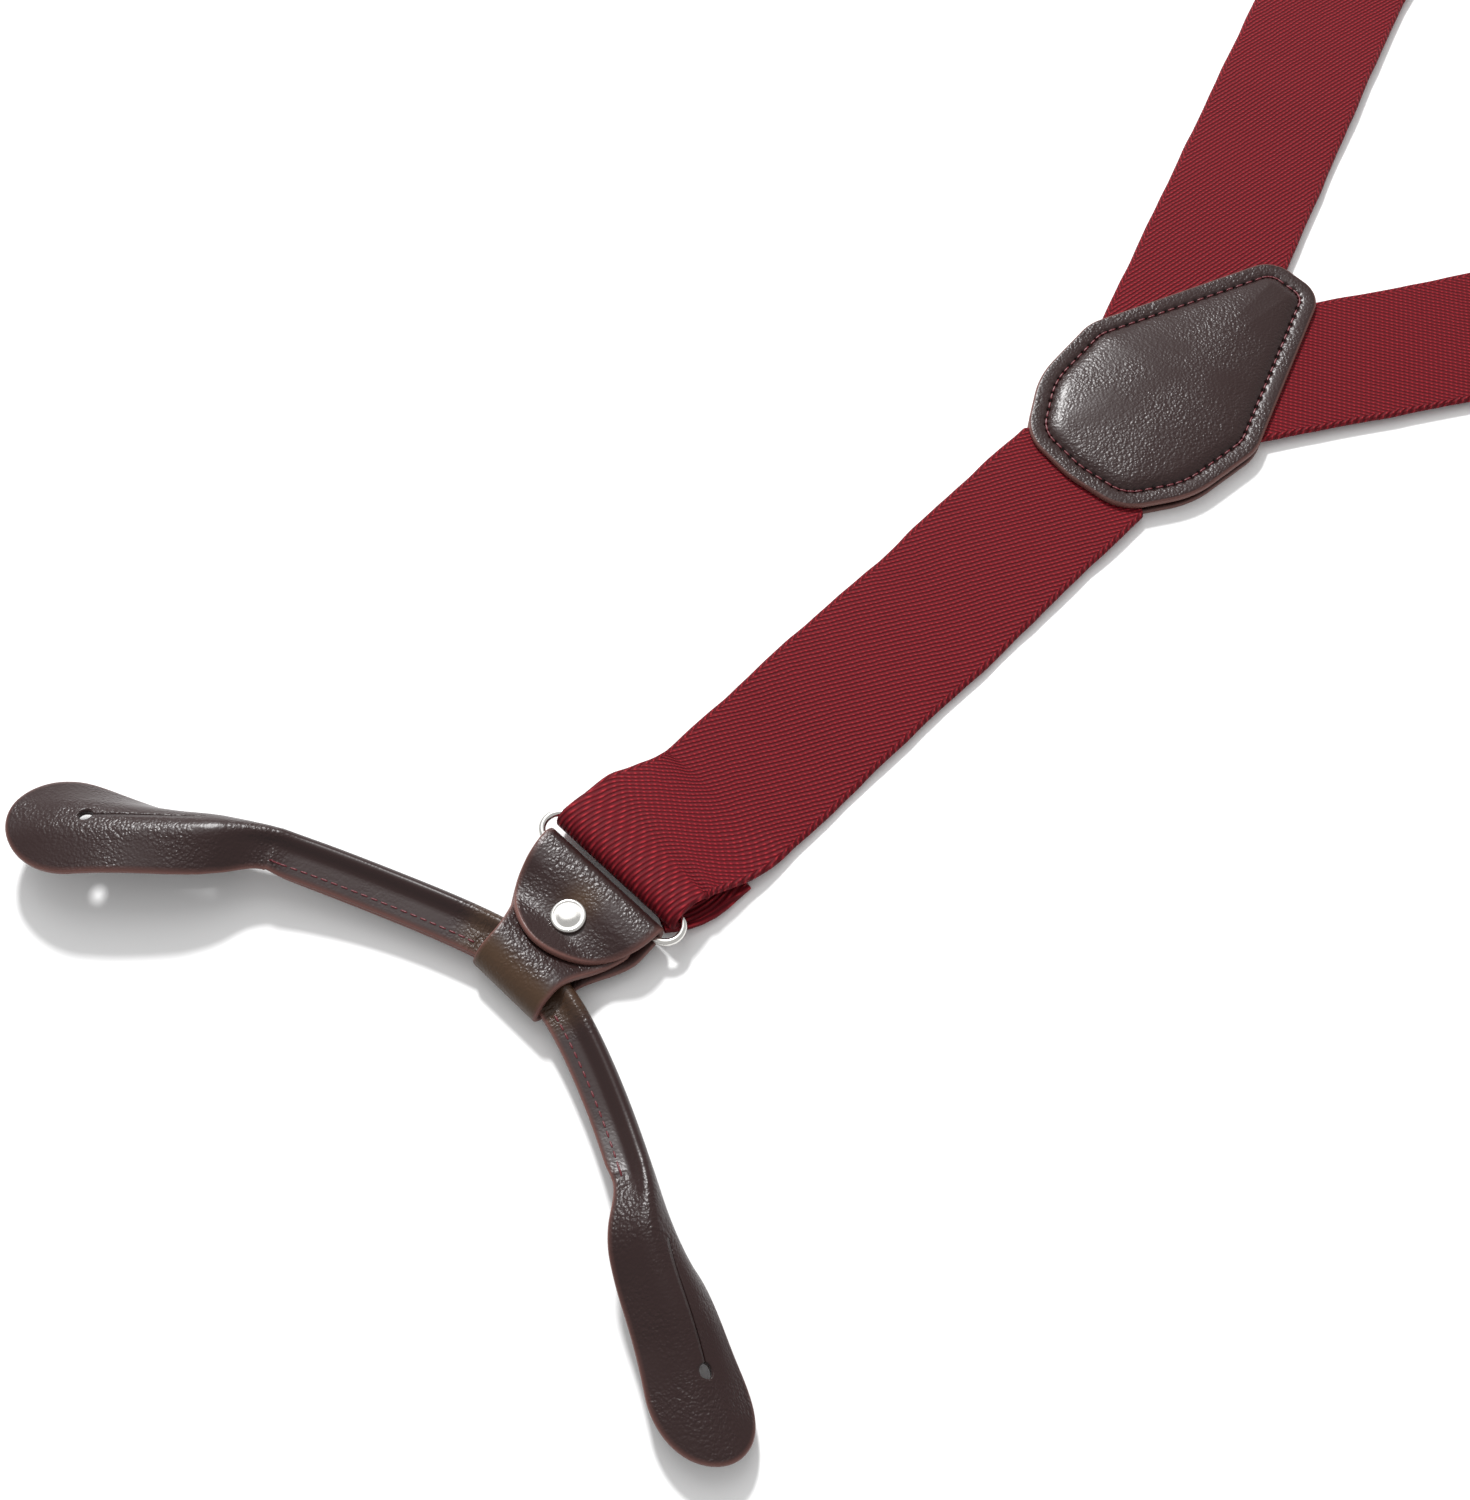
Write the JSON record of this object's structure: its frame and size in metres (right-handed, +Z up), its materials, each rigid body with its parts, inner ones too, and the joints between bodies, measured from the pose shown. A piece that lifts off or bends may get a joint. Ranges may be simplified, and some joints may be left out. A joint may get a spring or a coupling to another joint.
{
  "type": "button-end suspenders",
  "caption": "Y-back elastic suspenders with a stitched leather crosspatch, metal rings and adjusters, and leather button ears, laid flat.",
  "frame": {"origin": "middle of the crosspatch's underside, on the table", "axes": "+Y from the back ring towards the front ends, +Z up out of the face"},
  "size_m": [0.4357, 0.8608, 0.0125],
  "materials": {
    "burgundy_webbing": "woven elastic twill, satin",
    "brown_leather": "glossy fine grain with painted edges",
    "burgundy_thread": "spun thread",
    "polished_nickel": "polished nickel plate",
    "cotton_core": "twisted cotton cord"
  },
  "bodies": {
    "root": {"patch_top": "brown_leather", "patch_backing": "brown_leather", "patch_stitching": "burgundy_thread", "back_strap_end": "burgundy_webbing", "left_shoulder_strap": "burgundy_webbing", "right_shoulder_strap": "burgundy_webbing"},
    "back_strap": {"back_strap": "burgundy_webbing", "back_fold_stitching": "burgundy_thread"},
    "back_ring": {"back_ring": "polished_nickel"},
    "back_hanger": {"back_hanger": "brown_leather", "back_rivet_cap": "polished_nickel", "back_rivet_post": "polished_nickel"},
    "back_ears": {"back_ear_strip": "brown_leather", "back_ear_core": "cotton_core", "back_seam_stitching": "burgundy_thread"},
    "back_left_ear": {"back_left_ear": "brown_leather"},
    "back_right_ear": {"back_right_ear": "brown_leather"},
    "left_front": {"left_front_strap": "burgundy_webbing"},
    "left_adjuster": {"left_return_webbing": "burgundy_webbing", "left_adjuster_frame": "polished_nickel", "left_adjuster_pin": "polished_nickel", "left_adjuster_bar": "polished_nickel"},
    "left_lever": {"left_adjuster_lever": "polished_nickel"},
    "left_end": {"left_ring_webbing": "burgundy_webbing"},
    "left_ring": {"left_ring": "polished_nickel"},
    "left_hanger": {"left_hanger": "brown_leather", "left_rivet_cap": "polished_nickel", "left_rivet_post": "polished_nickel"},
    "left_ears": {"left_ear_strip": "brown_leather", "left_ear_core": "cotton_core", "left_seam_stitching": "burgundy_thread"},
    "left_outer_ear": {"left_outer_ear": "brown_leather"},
    "left_inner_ear": {"left_inner_ear": "brown_leather"},
    "right_front": {"right_front_strap": "burgundy_webbing"},
    "right_adjuster": {"right_return_webbing": "burgundy_webbing", "right_adjuster_frame": "polished_nickel", "right_adjuster_pin": "polished_nickel", "right_adjuster_bar": "polished_nickel"},
    "right_lever": {"right_adjuster_lever": "polished_nickel"},
    "right_end": {"right_ring_webbing": "burgundy_webbing"},
    "right_ring": {"right_ring": "polished_nickel"},
    "right_hanger": {"right_hanger": "brown_leather", "right_rivet_cap": "polished_nickel", "right_rivet_post": "polished_nickel"},
    "right_ears": {"right_ear_strip": "brown_leather", "right_ear_core": "cotton_core", "right_seam_stitching": "burgundy_thread"},
    "right_outer_ear": {"right_outer_ear": "brown_leather"},
    "right_inner_ear": {"right_inner_ear": "brown_leather"}
  },
  "joints": [
    {"name": "back_strap_fold", "type": "hinge", "parent": "root", "child": "back_strap", "pos_m": [0, -0.04425, 0.002], "axis": [-1, 0, 0], "range_deg": [-90, 90]},
    {"name": "back_ring_swing", "type": "hinge", "parent": "back_strap", "child": "back_ring", "pos_m": [-0.0038, -0.1775, 0.0045], "axis": [-1, 0, 0], "range_deg": [-60, 60]},
    {"name": "back_hanger_swing", "type": "hinge", "parent": "back_ring", "child": "back_hanger", "pos_m": [-0.0038, -0.1845, 0.0045], "axis": [-1, 0, 0], "range_deg": [-75, 75]},
    {"name": "back_ear_strip_slide", "type": "hinge", "parent": "back_hanger", "child": "back_ears", "pos_m": [-0.0018, -0.2304, 0.0045], "axis": [0, 0, 1], "range_deg": [-8, 8]},
    {"name": "back_left_ear_flex", "type": "hinge", "parent": "back_ears", "child": "back_left_ear", "pos_m": [-0.05262, -0.22499, 0.0045], "axis": [-0.4147, 0.91, 0], "range_deg": [-50, 50]},
    {"name": "back_right_ear_flex", "type": "hinge", "parent": "back_ears", "child": "back_right_ear", "pos_m": [0.04902, -0.22499, 0.0045], "axis": [-0.4147, -0.91, 0], "range_deg": [-50, 50]},
    {"name": "left_shoulder_fold", "type": "hinge", "parent": "root", "child": "left_front", "pos_m": [-0.07596, 0.25855, 0.002], "axis": [0.9969, 0.0785, 0], "range_deg": [-90, 90]},
    {"name": "left_adjuster_slide", "type": "slide", "parent": "left_front", "child": "left_adjuster", "axis": [-0.0785, 0.9969, 0], "range_m": [0, 0.12]},
    {"name": "left_lever_lift", "type": "hinge", "parent": "left_adjuster", "child": "left_lever", "pos_m": [-0.08012, 0.31139, 0.0096], "axis": [0.9969, 0.0785, 0], "range_deg": [0, 100]},
    {"name": "left_end_slide", "type": "slide", "parent": "left_front", "child": "left_end", "axis": [-0.0785, 0.9969, 0], "range_m": [0, 0.06]},
    {"name": "left_ring_swing", "type": "hinge", "parent": "left_end", "child": "left_ring", "pos_m": [-0.0953, 0.50429, 0.0045], "axis": [0.9969, 0.0785, 0], "range_deg": [-60, 60]},
    {"name": "left_hanger_swing", "type": "hinge", "parent": "left_ring", "child": "left_hanger", "pos_m": [-0.09585, 0.51127, 0.0045], "axis": [0.9969, 0.0785, 0], "range_deg": [-75, 75]},
    {"name": "left_ear_strip_slide", "type": "hinge", "parent": "left_hanger", "child": "left_ears", "pos_m": [-0.09945, 0.55703, 0.0045], "axis": [0, 0, 1], "range_deg": [-8, 8]},
    {"name": "left_inner_ear_flex", "type": "hinge", "parent": "left_ears", "child": "left_inner_ear", "pos_m": [-0.04836, 0.55562, 0.0045], "axis": [0.4848, -0.8746, 0], "range_deg": [-50, 50]},
    {"name": "left_outer_ear_flex", "type": "hinge", "parent": "left_ears", "child": "left_outer_ear", "pos_m": [-0.14969, 0.54765, 0.0045], "axis": [0.342, 0.9397, 0], "range_deg": [-50, 50]},
    {"name": "right_shoulder_fold", "type": "hinge", "parent": "root", "child": "right_front", "pos_m": [0.1106, 0.26418, 0.002], "axis": [0.9945, -0.1045, 0], "range_deg": [-90, 90]},
    {"name": "right_adjuster_slide", "type": "slide", "parent": "right_front", "child": "right_adjuster", "axis": [0.1045, 0.9945, 0], "range_m": [0, 0.12]},
    {"name": "right_lever_lift", "type": "hinge", "parent": "right_adjuster", "child": "right_lever", "pos_m": [0.11614, 0.31688, 0.0096], "axis": [0.9945, -0.1045, 0], "range_deg": [0, 100]},
    {"name": "right_end_slide", "type": "slide", "parent": "right_front", "child": "right_end", "axis": [0.1045, 0.9945, 0], "range_m": [0, 0.06]},
    {"name": "right_ring_swing", "type": "hinge", "parent": "right_end", "child": "right_ring", "pos_m": [0.13637, 0.50933, 0.0045], "axis": [0.9945, -0.1045, 0], "range_deg": [-60, 60]},
    {"name": "right_hanger_swing", "type": "hinge", "parent": "right_ring", "child": "right_hanger", "pos_m": [0.1371, 0.51629, 0.0045], "axis": [0.9945, -0.1045, 0], "range_deg": [-75, 75]},
    {"name": "right_ear_strip_slide", "type": "hinge", "parent": "right_hanger", "child": "right_ears", "pos_m": [0.1419, 0.56193, 0.0045], "axis": [0, 0, 1], "range_deg": [-8, 8]},
    {"name": "right_outer_ear_flex", "type": "hinge", "parent": "right_ears", "child": "right_outer_ear", "pos_m": [0.19188, 0.55124, 0.0045], "axis": [0.3173, -0.9483, 0], "range_deg": [-50, 50]},
    {"name": "right_inner_ear_flex", "type": "hinge", "parent": "right_ears", "child": "right_inner_ear", "pos_m": [0.09079, 0.56186, 0.0045], "axis": [0.5075, 0.8616, 0], "range_deg": [-50, 50]}
  ],
  "couplings": [
    {"joint": "left_end_slide", "follows": "left_adjuster_slide", "ratio": 0.5},
    {"joint": "right_end_slide", "follows": "right_adjuster_slide", "ratio": 0.5}
  ]
}
